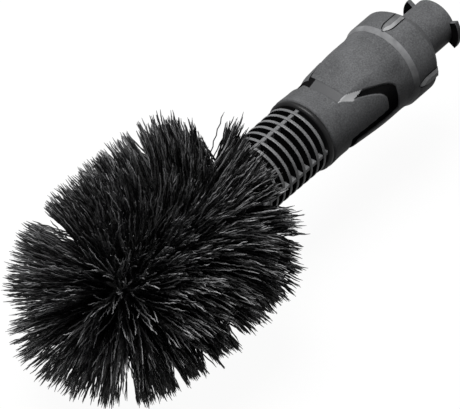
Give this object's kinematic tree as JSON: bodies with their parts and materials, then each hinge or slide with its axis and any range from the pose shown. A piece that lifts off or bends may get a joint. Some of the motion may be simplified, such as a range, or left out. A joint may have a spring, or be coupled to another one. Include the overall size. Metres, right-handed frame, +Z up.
{
  "type": "wheel brush",
  "caption": "Water-fed brush for wheel rims: a domed round head of bristles on a ringed neck, with a waisted grip and a bayonet at the rear.",
  "frame": {"origin": "under the middle of the tool's length, on the surface that the lowest bristles touch", "axes": "+X along the tool from the bayonet towards the bristles, +Z up out of the grip's panel"},
  "size_m": [0.2859, 0.1188, 0.1187],
  "materials": {
    "moulded_grey": "fine texture, satin",
    "moulded_black": "satin",
    "bristle_black": "satin filament",
    "seal_rubber": "matte",
    "milky_tube": "translucent",
    "brass": "turned",
    "steel": "stamped"
  },
  "bodies": {
    "root": {"bayonet_coupling": "moulded_grey", "inlet_nipple": "brass", "nipple_o_ring": "seal_rubber", "nipple_backing_ring": "milky_tube", "nipple_clip": "steel", "reducer_seal": "seal_rubber", "pressure_reducer": "brass", "tube_rear_seal": "seal_rubber", "tube_gland": "moulded_black", "grip_sleeve": "moulded_grey", "sleeve_lock_ring": "steel", "neck_cage": "moulded_black", "neck_liner": "moulded_black", "core_spindle": "moulded_black", "spindle_clip": "steel", "core_washer": "steel", "water_tube": "milky_tube", "tube_front_seal": "seal_rubber", "rear_bristles": "bristle_black", "middle_bristles": "bristle_black", "front_bristles": "bristle_black", "nose_bristles": "bristle_black", "nose_plug": "moulded_black"}
  },
  "joints": []
}
